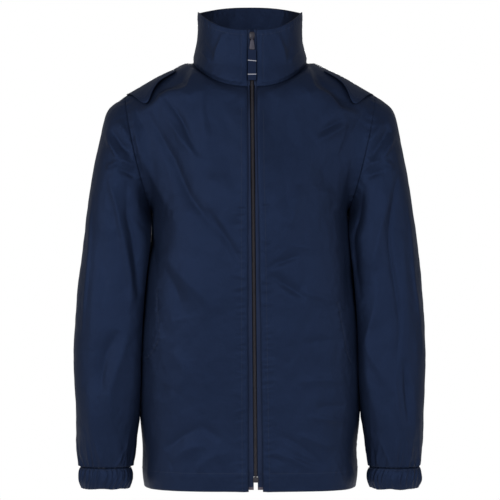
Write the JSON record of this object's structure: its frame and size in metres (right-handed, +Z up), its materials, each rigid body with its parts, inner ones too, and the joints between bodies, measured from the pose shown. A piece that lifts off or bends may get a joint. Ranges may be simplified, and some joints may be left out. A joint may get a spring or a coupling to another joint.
{
  "type": "windbreaker jacket",
  "caption": "Lightweight navy windbreaker jacket in worn shape, with a high stand collar, full-length zip, shoulder flaps, side pockets and elastic cuffs.",
  "frame": {"origin": "centre of the neck, level with the points where the shoulder seams meet the collar", "axes": "+Z up, front faces -Y, +X to the wearer's left"},
  "size_m": [0.588, 0.2512, 0.8143],
  "materials": {
    "shell": "satin",
    "tape": "matte",
    "chain": "satin",
    "zip_metal": "satin",
    "strap": "matte"
  },
  "bodies": {
    "jacket": {"front_left": "shell", "front_right": "shell", "back": "shell", "sleeve_left": "shell", "sleeve_right": "shell", "cuff_left": "shell", "cuff_right": "shell", "collar": "shell", "shoulder_flap_left": "shell", "shoulder_flap_right": "shell", "pocket_bag_left": "shell", "pocket_bag_right": "shell", "zip_tape_left": "tape", "zip_tape_right": "tape", "zip_chain": "chain", "zip_box": "chain", "zip_slider": "zip_metal"},
    "pull": {"zip_pull": "zip_metal", "puller_strap": "strap"}
  },
  "joints": [
    {"name": "pull_swing", "type": "hinge", "parent": "jacket", "child": "pull", "pos_m": [0.00339, -0.08217, 0.03451], "axis": [-1, 0, 0], "range_deg": [0, 150]}
  ]
}
